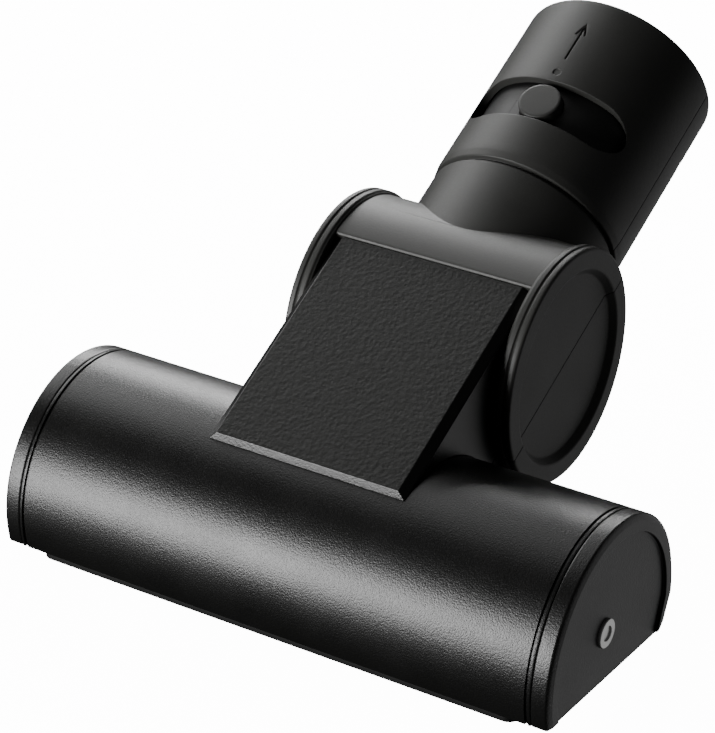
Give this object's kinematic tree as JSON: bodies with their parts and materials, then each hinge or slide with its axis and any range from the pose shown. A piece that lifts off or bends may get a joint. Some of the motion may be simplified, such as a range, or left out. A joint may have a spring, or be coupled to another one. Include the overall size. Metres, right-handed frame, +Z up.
{
  "type": "mini turbo brush vacuum nozzle",
  "caption": "Mini turbo brush nozzle for a vacuum wand: D-section head with bristle roller, belt-driven air turbine, tilting neck and swivelling wand socket.",
  "frame": {"origin": "centre of the bounding box's bottom, on the plane of the soleplate's underside", "axes": "+X along the head, to the right seen from the front; +Y from the head back to the neck; +Z up"},
  "size_m": [0.156, 0.1834, 0.119],
  "materials": {
    "shell_plastic": "satin, fine grain",
    "panel_plastic": "matte, leather grain",
    "inner_plastic": "satin",
    "sole_plastic": "satin",
    "steel": "satin",
    "brass": "satin",
    "rubber": "matte",
    "bristles": "matte nylon bristle"
  },
  "bodies": {
    "head": {"head_shell": "shell_plastic", "end_cap_left": "shell_plastic", "end_cap_right": "shell_plastic", "soleplate": "sole_plastic", "sole_screw_1": "steel", "sole_screw_2": "steel", "sole_screw_3": "steel", "sole_screw_4": "steel", "roller_axle": "steel", "axle_screw_left": "steel", "axle_screw_right": "steel", "duct_upper": "shell_plastic", "duct_lower": "shell_plastic", "top_panel": "panel_plastic", "shaft_bearing_left": "brass", "shaft_bearing_right": "brass", "drive_belt": "rubber"},
    "roller": {"roller_core": "inner_plastic", "roller_bush_left": "brass", "roller_bush_right": "brass", "roller_pulley": "inner_plastic", "bristle_row_1": "bristles", "bristle_row_2": "bristles", "bristle_row_3": "bristles", "bristle_row_4": "bristles"},
    "turbine": {"turbine_wheel": "inner_plastic", "turbine_shaft": "steel", "turbine_pinion": "brass"},
    "neck": {"neck_upper_shell": "shell_plastic", "neck_lower_shell": "shell_plastic", "neck_screw_1": "steel", "neck_screw_2": "steel", "neck_screw_3": "steel", "neck_screw_4": "steel"},
    "sleeve": {"swivel_sleeve": "inner_plastic", "sleeve_seal": "rubber", "latch_spring": "steel"},
    "latch": {"latch_button": "shell_plastic"}
  },
  "joints": [
    {"name": "neck_tilt", "type": "hinge", "parent": "head", "child": "neck", "pos_m": [0, -0.00376, 0.0484], "axis": [1, 0, 0], "range_deg": [-35, 0]},
    {"name": "sleeve_swivel", "type": "hinge", "parent": "neck", "child": "sleeve", "pos_m": [0, 0.0482, 0.0784], "axis": [0, 0.866, 0.5], "range_deg": [-40, 40]},
    {"name": "latch_press", "type": "slide", "parent": "sleeve", "child": "latch", "axis": [0, 0.5, -0.866], "range_m": [0, 0.001], "stiffness_N_per_m": 1500, "springref_m": -0.0008, "deforming": ["latch_spring"]},
    {"name": "roller_spin", "type": "hinge", "parent": "head", "child": "roller", "pos_m": [0, -0.06366, 0.0156], "axis": [1, 0, 0], "continuous": true},
    {"name": "turbine_spin", "type": "hinge", "parent": "head", "child": "turbine", "pos_m": [0, -0.00376, 0.0484], "axis": [1, 0, 0], "continuous": true}
  ],
  "couplings": [
    {"joint": "turbine_spin", "follows": "roller_spin", "ratio": 2.1429}
  ]
}
